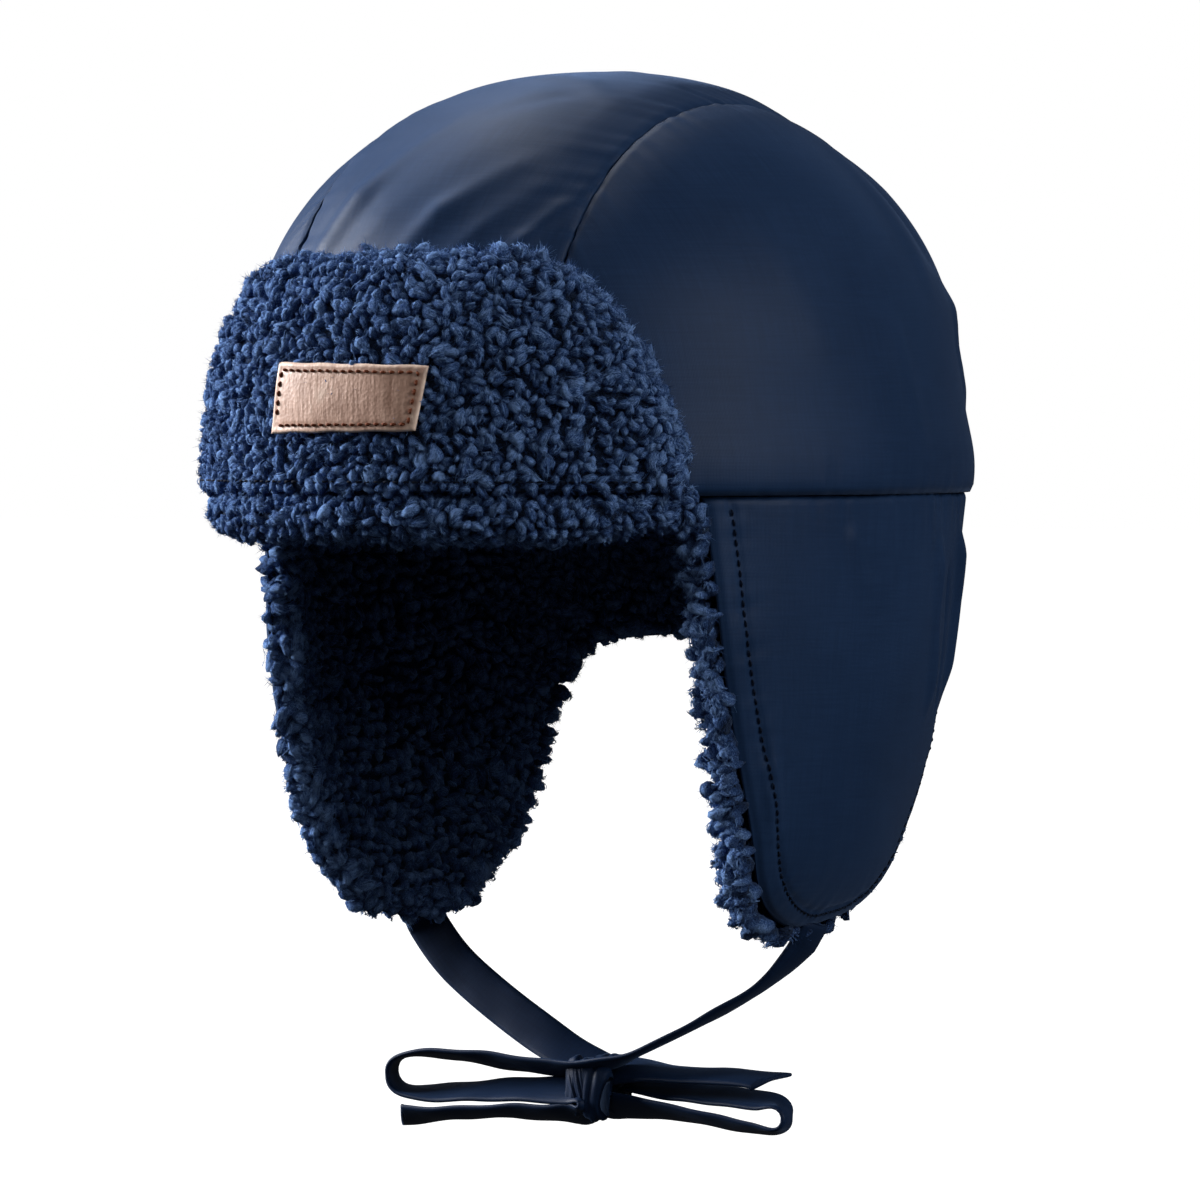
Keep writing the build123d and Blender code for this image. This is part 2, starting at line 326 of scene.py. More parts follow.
def smooth_line(points, count):
    """Catmull-Rom curve through the points, sampled evenly along its length."""
    pts = np.array(points, float)
    ends = np.vstack([2 * pts[0] - pts[1], pts, 2 * pts[-1] - pts[-2]])
    t = np.linspace(0, 1, 40, endpoint=False)[:, None]
    made = []
    for p0, p1, p2, p3 in zip(ends, ends[1:], ends[2:], ends[3:]):
        made.append(0.5 * (2 * p1 + (p2 - p0) * t + (2 * p0 - 5 * p1 + 4 * p2 - p3) * t ** 2
                           + (3 * p1 - p0 - 3 * p2 + p3) * t ** 3))
    return resample(np.vstack(made + [pts[-1:]]), count)


def distance_to(points, line):
    """Distance from each point to a polyline, and how far along it, from 0 to 1."""
    flat = points.reshape(-1, 3)
    best, along = np.full(len(flat), 1e9), np.zeros(len(flat))
    steps = len(line) - 1
    for i in range(steps):
        a, d = line[i], line[i + 1] - line[i]
        t = np.clip((flat - a) @ d / max(d @ d, 1e-12), 0, 1)
        gap = np.linalg.norm(flat - a - t[:, None] * d, axis=1)
        closer = gap < best
        best[closer], along[closer] = gap[closer], (i + t[closer]) / steps
    return best.reshape(points.shape[:-1]), along.reshape(points.shape[:-1])


def nearest(targets, points):
    """Index of the point closest to each target."""
    return [int(np.argmin(np.sum((points - p) ** 2, axis=1))) for p in targets]


def mesh_object(name, verts, faces, material):
    data = bpy.data.meshes.new(name)
    data.from_pydata([tuple(v) for v in verts], [], [tuple(f) for f in faces])
    data.polygons.foreach_set("use_smooth", np.ones(len(data.polygons), bool))
    data.update()
    data.materials.append(material)
    return link_object(name, data)


def grid_faces(rows, cols, closed=False, start=0):
    """Quads of a rows x cols grid of vertices; closed joins the last column to the first."""
    r = np.arange(rows - 1)[:, None]
    c = np.arange(cols if closed else cols - 1)[None]
    n = (c + 1) % cols
    quads = np.stack([r * cols + c, r * cols + n, (r + 1) * cols + n, (r + 1) * cols + c], axis=-1)
    return quads.reshape(-1, 4) + start


def set_points(obj, name, values, vector=False):
    """A number or a vector at each vertex, for the materials."""
    made = obj.data.attributes.new(name, "FLOAT_VECTOR" if vector else "FLOAT", "POINT")
    made.data.foreach_set("vector" if vector else "value", np.asarray(values, np.float32).ravel())


def set_uv(obj, uv):
    """Per-vertex map in metres along the cloth."""
    layer = obj.data.uv_layers.new(name="weave")
    corner = np.zeros(len(obj.data.loops), np.int64)
    obj.data.loops.foreach_get("vertex_index", corner)
    layer.data.foreach_set("uv", np.asarray(uv, np.float32).reshape(-1, 2)[corner].ravel())


def cloth_map(points):
    """Lengths along both directions of a grid of points: from its middle row, and its first column."""
    du = np.linalg.norm(np.diff(points, axis=0), axis=2)
    dv = np.linalg.norm(np.diff(points, axis=1), axis=2)
    u = np.pad(np.cumsum(du, axis=0), ((1, 0), (0, 0)))
    v = np.pad(np.cumsum(dv, axis=1), ((0, 0), (1, 0)))
    return np.stack([u - u[len(u) // 2], v], axis=-1)


def thicken(obj, thickness, offset):
    solid = obj.modifiers.new("thickness", "SOLIDIFY")
    solid.thickness, solid.offset = thickness, offset


def cloth_object(name, points, material, thickness=0.0007):
    obj = mesh_object(name, points.reshape(-1, 3), grid_faces(*points.shape[:2]), material)
    set_uv(obj, cloth_map(points))
    thicken(obj, thickness, -1)
    return obj


def merge(first, *others):
    with bpy.context.temp_override(active_object=first, selected_editable_objects=[first, *others]):
        bpy.ops.object.join()
    return first


# ---- the hat's surface ----------------------------------------------------------
HALF_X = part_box("crown_side_panel_left")[1].x
HALF_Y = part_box("crown_centre_panel")[1].y
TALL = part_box("crown_centre_panel")[1].z
SEAM_X = (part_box("crown_seam_left")[0].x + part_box("crown_seam_left")[1].x) / 2
POWER = 2.3                           # superellipse exponent of the crown's profile
TAPER_DEPTH, TAPER, CURL = 0.104, 0.21, 0.14   # how the skirt narrows below the waist seam
MIRROR = np.array((-1, 1, 1))
NAPE_Z = -0.037                       # lower edge of the nape


def skirt_share(z):
    depth = np.maximum(-z, 0) / TAPER_DEPTH
    return 1 - TAPER * depth ** 1.5 - CURL * depth ** 10


def skirt_point(theta, z):
    """Theta is 0 at the front and a quarter turn at the wearer's left."""
    share = skirt_share(z)
    return np.stack([HALF_X * share * np.sin(theta), -HALF_Y * share * np.cos(theta), z], axis=-1)


def skirt_angle(points):
    return np.arctan2(points[:, 0] / HALF_X, -points[:, 1] / HALF_Y)


def crown_point(theta, turn):
    """Turn runs from 0 at the waist seam to a quarter turn at the top."""
    across, up = np.cos(turn) ** (2 / POWER), np.sin(turn) ** (2 / POWER)
    return np.stack([HALF_X * across * np.sin(theta), -HALF_Y * across * np.cos(theta), TALL * up], axis=-1)


def crown_height(x, y):
    share = np.minimum(np.sqrt((x / HALF_X) ** 2 + (y / HALF_Y) ** 2), 1)
    return TALL * (1 - share ** POWER) ** (1 / POWER)


def outward(p):
    """Unit normal of the hat's surface beside each point."""
    x, y, z = p[..., 0], p[..., 1], p[..., 2]
    share = np.maximum(np.sqrt((x / HALF_X) ** 2 + (y / HALF_Y) ** 2), 1e-4)
    depth = np.maximum(-z, 0) / TAPER_DEPTH
    slope = TAPER * 1.5 * depth ** 0.5 + CURL * 10 * depth ** 9
    flat = share ** (POWER - 2)
    up = (np.maximum(z, 0) / TALL) ** (POWER - 1) / TALL
    down = -share * slope / TAPER_DEPTH
    return unit(np.stack([flat * x / HALF_X ** 2, flat * y / HALF_Y ** 2, np.where(z > 0, up, down)], axis=-1))


def surface_normals(grid, toward):
    """Normals of a grid of points, turned to the side that toward points to."""
    n = unit(np.cross(np.gradient(grid, axis=0), np.gradient(grid, axis=1)))
    return n * np.where(np.sum(n * toward, axis=-1).mean() >= 0, 1, -1)


def ridges(p, folds):
    """Soft folds: each is a polyline, a half width and a height, in millimetres."""
    total = np.zeros(p.shape[:-1])
    for line, wide, high in folds:
        gap, along = distance_to(p, np.array(line, float) * MM)
        total += high * MM * bell(gap, wide * MM) * smooth_step(along * 4) * smooth_step((1 - along) * 4)
    return total


def puckers(along, gap, seed, high, reach):
    """Small gathers beside a seam: along and gap are metres along it and away from it,
    and high and reach are millimetres."""
    gen = np.random.default_rng(seed)
    total = np.zeros(np.broadcast(along, gap).shape)
    for wave in (5.0, 7.3, 11.0, 17.0):
        wander = 1.4 * np.sin(along / 0.023 + wave)
        total = total + np.sin(along / (wave * MM) * 6.283 + gen.uniform(0, 6.28) + wander)
    return total / 4 * high * MM * np.exp(-gap / (reach * MM))


def groove(gap, deep, wide):
    return -deep * MM * bell(gap, wide * MM)


# ---- ties: the cords come first ---------------------------------------------------
TIE_ROUTES = {
    "left": [
        (53, 3, -106), (48, 1, -113), (36, -2.5, -121), (21, -6.5, -129),
        (7, -7.2, -135.6), (-8, -7.2, -138), (-25, -7.5, -136.8), (-44, -8, -135.8),
        (-56.5, -8, -137.8), (-56, -7.8, -145.6), (-43, -7.5, -145.8), (-25, -7.2, -143.4),
        (-9, -7, -142.4), (1, -7, -142.1), (1, -7, -148), (-8.5, -7, -148.6),
        (-24, -7.3, -149), (-41, -7.8, -150.9), (-56, -8, -152.4),
    ],
    "right": [
        (-53, 3, -106), (-48, 3.2, -113), (-37, 3, -121), (-22.5, 2.8, -129.6),
        (-8, 2.7, -136.8), (7, 2.8, -140.4), (23, 1.5, -141.9), (40, -0.5, -142),
        (51.5, -1.2, -142.6), (51, -1.5, -149.2), (38, -1.6, -148.6), (22, -1.8, -146.8),
        (9, -1.8, -146.3), (-0.5, -1.8, -146.5), (-0.8, -1.8, -137.8), (9, -1.8, -136.7),
        (24, -1.9, -137.2), (38, -2, -136.3), (50, -2, -137.4),
    ],
}
# How far the strip is turned away from facing the viewer at each point of its route, in degrees.
TIE_TURNS = {
    "left": [50, 72, 82, 84, 76, 68, 72, 76, 80, 80, 76, 70, 62, 50, 50, 66, 74, 72, 62],
    "right": [4, 4, 2, 6, 38, 60, 70, 74, 80, 80, 76, 70, 62, 50, 50, 66, 76, 78, 68],
}
TIE_WIDTH, TIE_THICK = 0.010, 0.0011
# A strip folded in on itself, with thicker sewn edges and a slight dish, in half widths
# and half thicknesses.
TIE_SECTION = np.array([
    (-1, 0), (-0.96, 0.8), (-0.8, 1), (-0.4, 0.62), (0, 0.55), (0.4, 0.62), (0.8, 1), (0.96, 0.8),
    (1, 0), (0.96, -0.8), (0.8, -1), (0.4, -0.9), (0, -0.85), (-0.4, -0.9), (-0.8, -1), (-0.96, -0.8)])
TIE_ENTRY = 5                         # millimetres of strip sewn in above its route
TIE_WEAR = {"left": (5, 0.4), "right": (6, 2.0)}   # seed of its creases, phase of its dish
TIE_POINT = 0.0055                    # slant of the cut end
KNOT_SWELL = (1.4, 1.1, 0.9)
# Shift, scale and share of the width of the knot's two bands, and their tilts in degrees.
KNOT_BANDS = [((0.0, 0, 0.0), (1.0, 1.0, 0.98), 0.98), ((-0.2, -0.12, 0.05), (0.96, 0.94, 0.88), 0.5)]
KNOT_TILTS = {"left": (14, -24), "right": (-10, 20)}


def route_line(name, route):
    """The smooth line of a route."""
    curve = bpy.data.curves.new(name + "_route", "CURVE")
    curve.dimensions, curve.resolution_u = "3D", 14
    spline = curve.splines.new("NURBS")
    spline.points.add(len(route) - 1)
    for point, place in zip(spline.points, route):
        point.co = (*place, 1)
    spline.order_u, spline.use_endpoint_u = 3, True
    holder = link_object(name + "_route", curve)
    bpy.context.view_layer.update()
    mesh = bpy.data.meshes.new_from_object(holder)
    line = np.array([v.co for v in mesh.vertices])
    bpy.data.objects.remove(holder)
    bpy.data.meshes.remove(mesh)
    bpy.data.curves.remove(curve)
    return resample(line, 260)


def tie_frame(side, path, route):
    """The strip's width and face directions along its path."""
    _, where = distance_to(path, route)
    where = np.maximum.accumulate(where) * (len(route) - 1)
    turn = np.radians(np.interp(where, range(len(route)), TIE_TURNS[side]))[:, None]
    along = unit(np.gradient(path, axis=0))
    flat = unit(np.cross(along, TO_VIEWER))
    for i in range(1, len(flat)):
        flat[i] *= 1 if flat[i] @ flat[i - 1] > 0 else -1
    wide = unit(flat * np.cos(turn) + TO_VIEWER * np.sin(turn))
    wide = unit(wide - along * np.sum(wide * along, axis=1, keepdims=True))
    for _ in range(3):
        wide[1:-1] = unit(wide[:-2] + wide[1:-1] * 2 + wide[2:])
    return wide, unit(np.cross(along, wide))


def make_tie(side, material):
    """The flat strip of one tie, and the smooth line it follows."""
    route = np.array(TIE_ROUTES[side], float) * MM
    path = route_line("tie_" + side, route)
    wide, face = tie_frame(side, path, route)
    # The sewn-in end goes on up between shell and sherpa.
    steps = np.arange(TIE_ENTRY, 0, -1)[:, None] * MM
    line = np.vstack([path[0] + steps * unit(path[0] - path[1]) + (0, 0, 60.0) * steps ** 2, path])
    wide = np.vstack([unit(wide[0] + steps * (0, 120 * np.sign(wide[0, 1]), 0)), wide])
    face = np.vstack([np.repeat(face[:1], TIE_ENTRY, axis=0), face])
    along, run = unit(np.gradient(line, axis=0)), runs(line)
    seed, phase = TIE_WEAR[side]
    crease = 0.00025 * soft_noise(np.outer(run, (1, 0, 0)), 0.017, seed)
    dish = 0.00055 * np.sin(run / 0.031 + phase) + 0.0005
    across, up = TIE_SECTION.T
    level = up * TIE_THICK / 2 + dish[:, None] * (across ** 2 - 0.4) + crease[:, None] * across
    grid = line[:, None] + wide[:, None] * (TIE_WIDTH / 2 * across)[:, None] + face[:, None] * level[..., None]
    # The cut end is folded to a point, like the real strip's.
    tip = smooth_step((run - run[-1] + 0.006) / 0.006)
    grid -= along[:, None] * (TIE_POINT * tip[:, None] * (across + 1) / 2)[..., None]
    rows, cols = grid.shape[:2]
    verts = np.vstack([grid.reshape(-1, 3), grid[0].mean(0), grid[-1].mean(0)])
    faces = grid_faces(rows, cols, closed=True).tolist()
    for i in range(cols):
        n = (i + 1) % cols
        faces += [[rows * cols, n, i], [rows * cols + 1, (rows - 1) * cols + i, (rows - 1) * cols + n]]
    obj = mesh_object("tie_strip_" + side, verts, faces, material)
    girth = np.tile(runs(TIE_SECTION * (TIE_WIDTH / 2, TIE_THICK / 2)), rows)
    set_uv(obj, np.stack([np.append(girth, [0, 0]), np.append(np.repeat(run, cols), run[[0, -1]])], -1))
    return obj, path


def make_knot(side, material):
    """Strip wrapped round the crossing: two overlapping bands with lengthwise creases."""
    low, high = (np.array(corner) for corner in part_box("bow_knot_" + side))
    middle, size = (low + high) / 2, (high - low) / 2 * KNOT_SWELL
    around, across = 56, 22
    phi = np.linspace(0, 2 * math.pi, around, endpoint=False)[None]
    s = np.linspace(-1, 1, across)[:, None]
    bulge = np.sqrt(np.maximum(1 - np.abs(s) ** 3.2, 0)) * 0.34 + 0.66
    verts, faces, uvs = [], [], []
    for number, (shift, scale, share) in enumerate(KNOT_BANDS):
        creases = 0.05 * np.sin(s * 9 + 2.2 * np.sin(phi + shift[0])) + 0.035 * np.sin(s * 17 + 3 * np.cos(phi))
        radius = bulge + creases * (1 - np.abs(s) ** 4)
        y, z = (np.sign(c) * np.abs(c) ** 0.8 * radius * size[k] * scale[k]
                for k, c in ((1, np.cos(phi)), (2, np.sin(phi))))
        x = s * size[0] * share * scale[0] * (1 - 0.16 * np.cos(phi) ** 2 + 0.05 * np.sin(3 * phi))
        lean = math.radians(KNOT_TILTS[side][number])
        x, z = x * math.cos(lean) + z * math.sin(lean) * 0.55, z * math.cos(lean) - x * math.sin(lean)
        verts.append((np.stack([x, y, z], -1) + middle + np.array(shift) * size).reshape(-1, 3))
        uvs.append(np.stack([s * size[0] + 0 * phi, phi * 0.006 + 0 * s], -1).reshape(-1, 2))
        start = number * around * across
        end = start + (across - 1) * around
        faces += grid_faces(across, around, closed=True, start=start).tolist()
        faces += [list(range(start, start + around)), list(range(end, end + around))[::-1]]
    obj = mesh_object("knot_wrap_" + side, np.vstack(verts), faces, material)
    set_uv(obj, np.vstack(uvs))
    return obj


def make_ties(material):
    for side, sign in (("left", 1), ("right", -1)):
        body = "tie_" + side
        strip, line = make_tie(side, material)
        knot = make_knot(side, material)
        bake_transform(strip)
        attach(knot, body)
        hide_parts(body)
        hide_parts("bow_knot_" + side)


# ---- shell panels ---------------------------------------------------------------
# Folds in the cloth: where each runs, its half width and its height, in millimetres.
CENTRE_FOLDS = [
    ([(-22, -72, 62), (-12, -52, 80), (4, -34, 92)], 13.0, -0.8),
    ([(-28, -84, 44), (-16, -74, 66), (2, -52, 84)], 4.0, 2.0),
    ([(-22, -86, 44), (-12, -76, 64), (4, -54, 82), (20, -36, 92)], 3.2, -1.2),
    ([(-40, -60, 60), (-30, -42, 80), (-14, -20, 94)], 3.0, 1.3),
    ([(-20, -88, 42), (-6, -80, 60), (12, -62, 78)], 2.6, 1.3),
    ([(-6, -92, 40), (8, -80, 62), (26, -58, 76)], 3.0, 1.9),
    ([(8, -90, 44), (18, -80, 58), (32, -60, 72)], 2.2, 1.2),
    ([(20, -86, 42), (28, -78, 55), (36, -62, 68)], 2.4, 1.8),
    ([(-38, -70, 50), (-34, -50, 72), (-20, -30, 90)], 6.0, 1.2),
    ([(30, -40, 82), (14, -30, 92), (-4, -28, 96)], 4.0, 0.8),
    ([(37, -20, 84), (24, -12, 92), (6, -10, 97)], 4.0, 0.7),
    ([(-10, 60, 80), (4, 80, 60), (10, 92, 34)], 6.0, 1.0),
    ([(24, 60, 76), (18, 80, 56), (20, 90, 30)], 4.0, 1.0),
]
SIDE_FOLDS = [
    ([(42, 24, 82), (56, 36, 66), (64, 40, 48)], 4.0, -1.3),
    ([(36, 52, 82), (58, 56, 56), (66, 60, 34)], 18.0, 1.5),
    ([(44, 12, 84), (60, 24, 66), (70, 30, 42)], 5.0, 0.9),
    ([(62, 50, 50), (62, 58, 34), (60, 64, 16)], 4.0, 1.4),
    ([(50, 56, 62), (54, 66, 40), (52, 74, 18)], 3.5, 1.2),
    ([(44, -62, 52), (56, -50, 40), (66, -40, 18)], 5.0, 0.9),
    ([(46, -40, 70), (62, -30, 50), (74, -24, 22)], 6.0, 0.7),
    ([(72, 0, 44), (78, 4, 22), (80, 8, 8)], 5.0, 0.6),
]
FLAP_FOLDS = [
    ([(77, -44, -10), (73, -41, -46), (61, -28, -86)], 2.6, 1.7),
    ([(72, -16, -36), (68, -11, -62), (60, -6, -94)], 2.6, 1.7),
    ([(79, 24, -8), (77, 27, -30), (71, 31, -56)], 2.2, 2.4),
    ([(75, 36, -14), (72, 40, -34), (66, 42, -58)], 2.0, -1.6),
    ([(72, 44, -6), (68, 50, -26), (62, 52, -54)], 2.3, 2.2),
    ([(68, 30, -40), (64, 38, -54), (60, 46, -62)], 2.0, 1.2),
    ([(64, 58, -12), (58, 64, -30), (52, 66, -48)], 2.6, 1.5),
    ([(78, -20, -6), (77, -16, -14), (76, -10, -24)], 2.6, 0.9),
    ([(50, 76, -6), (44, 82, -22), (42, 80, -40)], 2.6, 1.4),
    ([(28, 92, -6), (24, 94, -20), (22, 88, -40)], 3.0, 1.2),
    ([(4, 98, -8), (2, 98, -22), (4, 92, -38)], 3.0, -1.0),
]
# Lower edge of flap and nape from the side, (y, z) in millimetres.
PANEL_EDGE = [(-60, 0), (-51, -40), (-38, -73), (-27, -92), (-10, -101), (6, -102.5), (22, -99),
              (37, -90), (49, -75), (57, -58), (63, -46), (72, -39.5), (86, -37.5)]
EDGE_SCALE = (0.087, 1)               # metres per radian and per metre, for even steps
CORNER_Z = -0.090                     # where a flap's front edge turns into its lower one
HEM_INSET = 0.0065                    # of the topstitch from the panel's edge
FOLD_WAY = np.array((0.5, -0.2, -0.84))   # down the left flap, across its fold line
FOLD_WAY /= FOLD_WAY @ FOLD_WAY


def centre_panel():
    """Front to back over the top, between the two crown seams."""
    across, over = 110, 260
    turn = np.linspace(0, math.pi, 900)
    rows = []
    for x in np.linspace(-1, 1, across) * (SEAM_X - 0.0003):
        side = math.sqrt(1 - (x / HALF_X) ** 2)
        y = -HALF_Y * side * np.sign(np.cos(turn)) * np.abs(np.cos(turn)) ** (2 / POWER)
        z = crown_height(x, y)
        z[0] = z[-1] = 0
        rows.append(resample(np.stack([np.full_like(y, x), y, z], -1), over))
    return np.array(rows)


def side_panel():
    """From the waist seam up to the left crown seam."""
    around, up = 230, 110
    corner = math.asin(SEAM_X / HALF_X)
    share = 0.5 - 0.5 * np.cos(np.linspace(0.02, math.pi - 0.02, around))
    theta = corner + (math.pi - 2 * corner) * share
    top = np.arccos(np.minimum(SEAM_X / (HALF_X * np.sin(theta)), 1) ** (POWER / 2))
    turn = np.linspace(0, 1, up)[None] * top[:, None]
    return crown_point(theta[:, None] + 0 * turn, turn)


def skirt_edge(grow=0.0):
    """The lower edge of the left half in (theta, z): the front part, then from the
    front of the tip round to the middle of the back. Grow moves it outwards."""
    y, z = smooth_line(PANEL_EDGE, 200).T * MM
    side = np.stack([np.arccos(np.clip(-y / (HALF_Y * skirt_share(z)), -1, 1)), z], -1)
    back = np.linspace(side[-1], (math.pi, NAPE_Z), 60)[1:]
    theta, z = smoothed(np.vstack([side, back]), 30).T
    points = skirt_point(theta, z)
    out = np.cross(unit(np.gradient(points, axis=0)), outward(points))
    moved = points + grow * (-out if out[100, 2] > 0 else out)
    theta = skirt_angle(moved)
    theta = np.where(theta < 0, theta + 2 * math.pi, theta)
    return np.stack([np.minimum(theta, math.pi), moved[:, 2]], -1)


def skirt_grid(along, down, grow=0.0, top=-0.0002):
    """Left half of the panel below the waist seam: a patch between its four edges."""
    edge = skirt_edge(grow)
    edge = edge[(edge[:, 1] < top) | (np.arange(len(edge)) > 20)]
    corner = int(np.argmin(np.abs(edge[:, 1] - CORNER_Z) + 10 * (edge[:, 0] > 1.5)))
    front = resample(edge[:corner + 1] * EDGE_SCALE, down) / EDGE_SCALE
    bottom = resample(edge[corner:] * EDGE_SCALE, along) / EDGE_SCALE
    bottom[-1, 0] = math.pi
    front[0, 1] = top
    spread = (bottom[:, 0] - bottom[0, 0]) / (math.pi - bottom[0, 0])
    head = np.stack([front[0, 0] + (math.pi - front[0, 0]) * spread, np.full(along, top)], -1)
    back = np.stack([np.full(down, math.pi), np.linspace(top, bottom[-1, 1], down)], -1)
    u, v = np.linspace(0, 1, along)[:, None, None], np.linspace(0, 1, down)[None, :, None]
    patch = ((1 - v) * head[:, None] + v * bottom[:, None] + (1 - u) * front[None] + u * back[None]
             - (1 - u) * (1 - v) * head[0] - u * (1 - v) * head[-1]
             - (1 - u) * v * bottom[0] - u * v * bottom[-1])
    return skirt_point(patch[..., 0], patch[..., 1])


def drawn_in(points):
    """The right flap's front edge sits further in and back under the brim than the left's."""
    y, z = points[..., 1], points[..., 2]
    share = smooth_step((-y - 0.012) / 0.045) * smooth_step(-z / 0.012) * smooth_step((z + 0.075) / 0.07)
    return points + np.stack([0.0042 * share, 0.0034 * share, 0 * share], -1)


def on_side(points, side):
    """Points of the left half, or their mirror image on the right."""
    return points if side == "left" else drawn_in(points * MIRROR)


def mirrored(grid, side):
    """The same for a grid; its rows are reversed, so that its faces keep facing outwards."""
    return on_side(grid if side == "left" else grid[::-1], side)


def make_crown(material):
    grid = centre_panel()
    gap = SEAM_X - np.abs(grid[..., 0])
    rise = (ridges(grid, CENTRE_FOLDS) + puckers(cloth_map(grid)[..., 1], gap, 3, 0.5, 6) + groove(gap, 0.7, 1.1)
            + 0.0004 * soft_noise(grid, 0.05, 8) + 0.0008 * smooth_step(gap / 0.012) - 0.0018)
    rise += 0.0010 * bell(grid[..., 2] - 0.006, 0.008) + groove(grid[..., 2], 0.7, 1.0)
    panel = cloth_object("crown_panel_centre", grid + outward(grid) * rise[..., None], material)
    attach(panel, "crown")
    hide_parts("crown_centre_panel")
    base = side_panel()
    length, waist = cloth_map(base)[..., 0], base[..., 2]
    gap, _ = distance_to(base, base[::6, -1])
    folded = (ridges(base, SIDE_FOLDS) + puckers(length, gap, 5, 0.4, 5) + groove(gap, 0.35, 0.8)
              + 0.0006 * smooth_step(gap / 0.012) - 0.0003 - 0.0013 * np.exp(-gap / 0.009)
              + 0.0013 * bell(waist - 0.007, 0.009) + groove(waist, 0.7, 1.0) + puckers(length, waist, 15, 0.3, 5))
    for side in ("left", "right"):
        grid = mirrored(base, side)
        rise = folded + 0.0004 * soft_noise(grid, 0.06, 9)
        if side == "right":
            rise = rise[::-1]
        panel = cloth_object("crown_panel_" + side, grid + outward(grid) * rise[..., None], material)
        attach(panel, "crown")
        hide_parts("crown_side_panel_" + side, "crown_seam_" + side)


def bend_with_flap(obj):
    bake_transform(obj)


def make_skirt(material):
    """Both shell panels below the waist seam; returns the left one's points, how far
    its folds lift them, and its lower edge."""
    base = skirt_grid(230, 120)
    line = skirt_point(*skirt_edge().T)
    gap, along = distance_to(base, line[::2])
    to_hem = gap - HEM_INSET
    gathered = smooth_step((base[..., 1] + 0.02) / 0.08)
    rise = ridges(base, FLAP_FOLDS) + 0.0004 * soft_noise(base, 0.05, 21)
    rise += puckers(along * runs(line)[-1], np.abs(to_hem), 31, 0.35, 3.0) + groove(to_hem, 0.5, 0.9)
    rise += puckers(cloth_map(base)[..., 0], -base[..., 2], 33, 0.3 + 0.5 * gathered, 7.0)
    rise += groove(base[..., 2], 0.7, 1.0) - 0.0008 * (1 - smooth_step(gap / 0.0022))
    for side in ("left", "right"):
        grid = mirrored(base + outward(base) * rise[..., None], side)
        panel = cloth_object("flap_panel_" + side, grid, material)
        bend_with_flap(panel)
        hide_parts("ear_flap_shell_" + side, "nape_panel", "waist_seam")
    return base, rise, line


# ---- sewing thread ----------------------------------------------------------------
def stitches(name, line, normals, material, pitch=0.0023, share=0.68, radius=0.00028, lift=0.0001):
    """A running stitch: one small rounded thread for each stitch along the line."""
    run = runs(line)
    starts = np.arange(pitch / 2, run[-1] - pitch, pitch)
    rings, sides = 7, 8
    t = np.linspace(0, 1, rings)
    swell = np.sin(np.pi * np.clip(t, 0.06, 0.94)) ** 0.45
    at = starts[:, None] + t[None] * pitch * share
    up = unit(at_runs(at, run, normals))
    centre = at_runs(at, run, line)
    aside = unit(np.cross(unit(np.gradient(centre, axis=1)), up))
    centre += up * (np.sin(np.pi * t) * radius * 0.9 + lift)[None, :, None]
    phi = np.linspace(0, 2 * math.pi, sides, endpoint=False)
    ring = (aside[:, :, None] * np.cos(phi)[None, None, :, None]
            + up[:, :, None] * np.sin(phi)[None, None, :, None])
    verts = centre[:, :, None] + ring * (radius * swell)[None, :, None, None]
    one = grid_faces(rings, sides, closed=True)
    caps = np.arange(sides) + np.array([[0], [(rings - 1) * sides]])
    caps[0] = caps[0, ::-1]
    faces = []
    for shift in np.arange(len(starts)) * rings * sides:
        faces += (one + shift).tolist() + (caps + shift).tolist()
    obj = mesh_object(name, verts.reshape(-1, 3), faces, material)
    twist = [np.broadcast_to(part, verts.shape[:3]) for part in (at[:, :, None] / MM, phi / 2, 0)]
    set_points(obj, "twist", np.stack(twist, -1), vector=True)
    return obj


def on_skirt(points, rise=0.0):
    """Points moved onto the skirt's surface or above it, and the normals there."""
    placed = skirt_point(skirt_angle(points), points[:, 2])
    return placed + outward(placed) * rise, outward(placed)


def make_topstitch(base, rise, line, material):
    """Round each flap, and along the nape's hem, on the cloth wherever its folds put it."""
    inwards = -np.cross(unit(np.gradient(line, axis=0)), outward(line))
    inwards *= np.sign(inwards[130, 2])
    inner, _ = on_skirt(line + inwards * HEM_INSET)
    inner = inner[inner[:, 2] < -0.002]
    lifted = smoothed(rise.ravel()[nearest(inner, base.reshape(-1, 3))], 2)
    both = resample(np.hstack(on_skirt(inner, lifted[:, None] + 0.0001)), 400)
    inner, normals = both[:, :3], unit(both[:, 3:])
    for side, flip in (("left", 1), ("right", MIRROR)):
        seam = stitches("flap_topstitch_" + side, on_side(inner, side), normals * flip, material)
        bend_with_flap(seam)
        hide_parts("ear_flap_topstitch_" + side, "nape_topstitch")


# ---- sherpa -------------------------------------------------------------------------
def ball(subdivisions):
    made = bmesh.new()
    bmesh.ops.create_icosphere(made, subdivisions=subdivisions, radius=1)
    verts = np.array([v.co for v in made.verts])
    faces = np.array([[v.index for v in f.verts] for f in made.faces])
    made.free()
    return verts, faces


BALL, BALL_FACES = ball(2)
STRAND_STEPS = 4
STRAND_QUADS = np.array([[0, 1, 3, 2], [2, 3, 5, 4], [4, 5, 7, 6]])
WISP_HALF = 0.00007
# Tone of the knitted ground: near-black painted shade between the curls.
PAINTED_GAP_SHADE = 0.06


